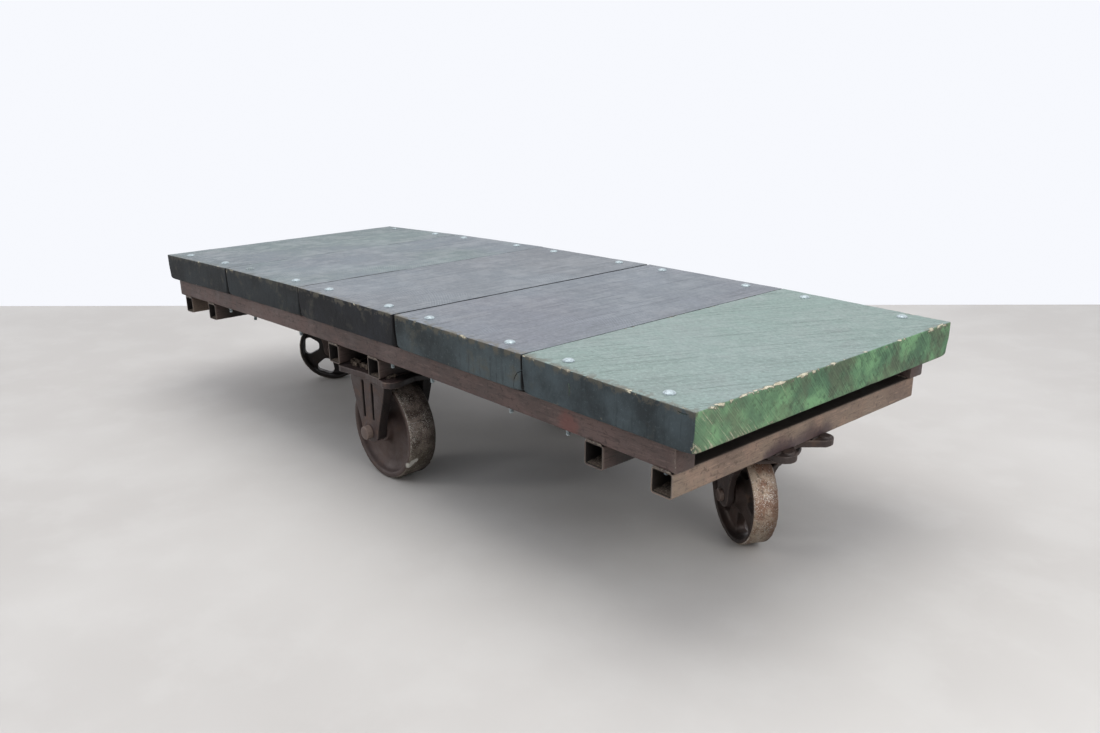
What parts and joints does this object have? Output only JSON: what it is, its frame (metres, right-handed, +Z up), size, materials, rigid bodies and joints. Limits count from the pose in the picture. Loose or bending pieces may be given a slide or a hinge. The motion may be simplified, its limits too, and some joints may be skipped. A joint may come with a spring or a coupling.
{
  "type": "platform trolley",
  "caption": "Low industrial platform truck: thick timber planks bolted to a welded steel tube frame, on rigid middle casters and swivelling end casters.",
  "frame": {"origin": "on the floor, under the middle of the deck", "axes": "+X along the deck towards the end whose last plank is green, +Y across the deck, +Z up"},
  "size_m": [1.9798, 0.762, 0.4192],
  "materials": {
    "charcoal_timber": "faded charcoal paint worn into rough-sawn grain",
    "green_timber": "faded sage-green paint over rough-sawn grain, chipped to bare wood at the edges",
    "zinc_bolt": "bright zinc plate",
    "oxide_steel": "red-brown oxide and rust on mild steel tube",
    "cast_iron": "rough dark brown cast iron, tread worn paler",
    "bearing_steel": "greasy worn steel",
    "bushing": "dull, oily"
  },
  "bodies": {
    "frame": {"plank_1": "charcoal_timber", "plank_2": "charcoal_timber", "plank_3": "charcoal_timber", "plank_4": "charcoal_timber", "plank_5": "green_timber", "deck_bolt_near_01": "zinc_bolt", "deck_bolt_near_02": "zinc_bolt", "deck_bolt_near_03": "zinc_bolt", "deck_bolt_near_04": "zinc_bolt", "deck_bolt_near_05": "zinc_bolt", "deck_bolt_near_06": "zinc_bolt", "deck_bolt_near_07": "zinc_bolt", "deck_bolt_near_08": "zinc_bolt", "deck_bolt_near_09": "zinc_bolt", "deck_bolt_near_10": "zinc_bolt", "deck_bolt_far_01": "zinc_bolt", "deck_bolt_far_02": "zinc_bolt", "deck_bolt_far_03": "zinc_bolt", "deck_bolt_far_04": "zinc_bolt", "deck_bolt_far_05": "zinc_bolt", "deck_bolt_far_06": "zinc_bolt", "deck_bolt_far_07": "zinc_bolt", "deck_bolt_far_08": "zinc_bolt", "deck_bolt_far_09": "zinc_bolt", "deck_bolt_far_10": "zinc_bolt", "rail_near": "oxide_steel", "rail_far": "oxide_steel", "crossmember_1": "oxide_steel", "crossmember_2": "oxide_steel", "crossmember_3": "oxide_steel", "crossmember_4": "oxide_steel", "crossmember_5": "oxide_steel", "crossmember_6": "oxide_steel", "rigid_yoke_near": "cast_iron", "rigid_axle_near": "cast_iron", "rigid_nut_near": "cast_iron", "rigid_yoke_far": "cast_iron", "rigid_axle_far": "cast_iron", "rigid_nut_far": "cast_iron", "swivel_plate_left": "cast_iron", "kingpin_left": "bearing_steel", "swivel_plate_right": "cast_iron", "kingpin_right": "bearing_steel"},
    "rigid_wheel_near": {"rigid_wheel_near": "cast_iron", "rigid_bushing_near": "bushing"},
    "rigid_wheel_far": {"rigid_wheel_far": "cast_iron", "rigid_bushing_far": "bushing"},
    "fork_left": {"fork_left": "cast_iron", "ball_ring_left": "bearing_steel", "end_axle_left": "cast_iron", "end_nut_left": "cast_iron"},
    "end_wheel_left": {"end_wheel_left": "cast_iron", "end_bushing_left": "bushing"},
    "fork_right": {"fork_right": "cast_iron", "ball_ring_right": "bearing_steel", "end_axle_right": "cast_iron", "end_nut_right": "cast_iron"},
    "end_wheel_right": {"end_wheel_right": "cast_iron", "end_bushing_right": "bushing"}
  },
  "joints": [
    {"name": "rigid_spin_near", "type": "hinge", "parent": "frame", "child": "rigid_wheel_near", "pos_m": [0.042, -0.2955, 0.117], "axis": [0, 1, 0], "continuous": true},
    {"name": "rigid_spin_far", "type": "hinge", "parent": "frame", "child": "rigid_wheel_far", "pos_m": [0.042, 0.2955, 0.117], "axis": [0, 1, 0], "continuous": true},
    {"name": "swivel_left", "type": "hinge", "parent": "frame", "child": "fork_left", "pos_m": [-0.772, -0.042, 0.2], "axis": [0, 0, 1], "continuous": true},
    {"name": "end_spin_left", "type": "hinge", "parent": "fork_left", "child": "end_wheel_left", "pos_m": [-0.74562, -0.00432, 0.0985], "axis": [-0.8192, 0.5736, 0], "continuous": true},
    {"name": "swivel_right", "type": "hinge", "parent": "frame", "child": "fork_right", "pos_m": [0.838, -0.02, 0.2], "axis": [0, 0, 1], "continuous": true},
    {"name": "end_spin_right", "type": "hinge", "parent": "fork_right", "child": "end_wheel_right", "pos_m": [0.79738, 0.0016, 0.0985], "axis": [0.4695, 0.8829, 0], "continuous": true}
  ]
}
